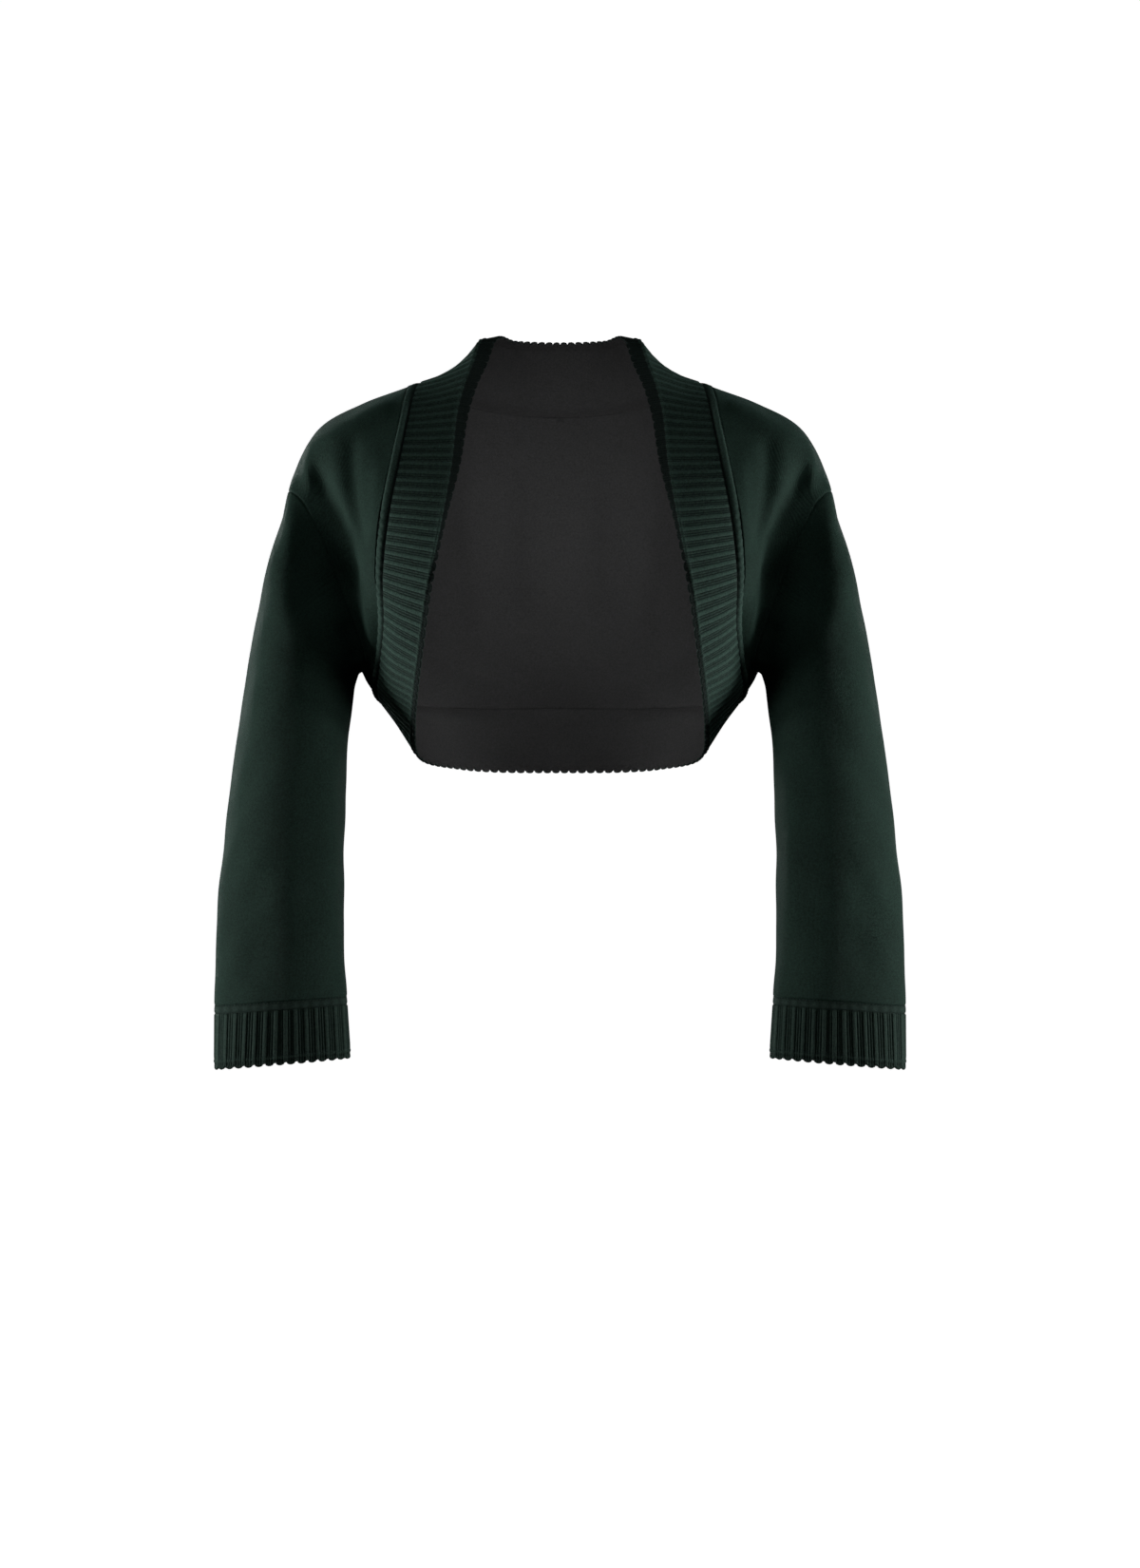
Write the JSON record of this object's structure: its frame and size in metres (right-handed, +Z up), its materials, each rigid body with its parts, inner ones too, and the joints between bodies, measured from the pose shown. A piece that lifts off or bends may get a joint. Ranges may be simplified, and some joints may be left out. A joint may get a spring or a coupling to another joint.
{
  "type": "knitted shrug",
  "caption": "Cropped long-sleeved knitted shrug in its worn shape, hollow and open at the front, with a wide ribbed band round the opening and ribbed cuffs with scalloped edges.",
  "frame": {"origin": "on the centre plane, at the height where the shoulder seams meet the opening band, midway between the front and back of the shoulders: where the wearer's shoulders and nape hold it", "axes": "+X to the wearer's left, -Y to the wearer's front, +Z up"},
  "size_m": [0.6134, 0.2223, 0.6503],
  "materials": {
    "plain_knit": "matt, fine stocking stitch",
    "rib_knit": "matt, broad rib with fine rib lines"
  },
  "bodies": {
    "root": {"back": "plain_knit", "front_left": "plain_knit", "front_right": "plain_knit", "sleeve_left": "plain_knit", "sleeve_right": "plain_knit", "cuff_left": "rib_knit", "cuff_right": "rib_knit", "band_neck": "rib_knit", "band_front_left": "rib_knit", "band_front_right": "rib_knit", "band_hem": "rib_knit"}
  },
  "joints": []
}
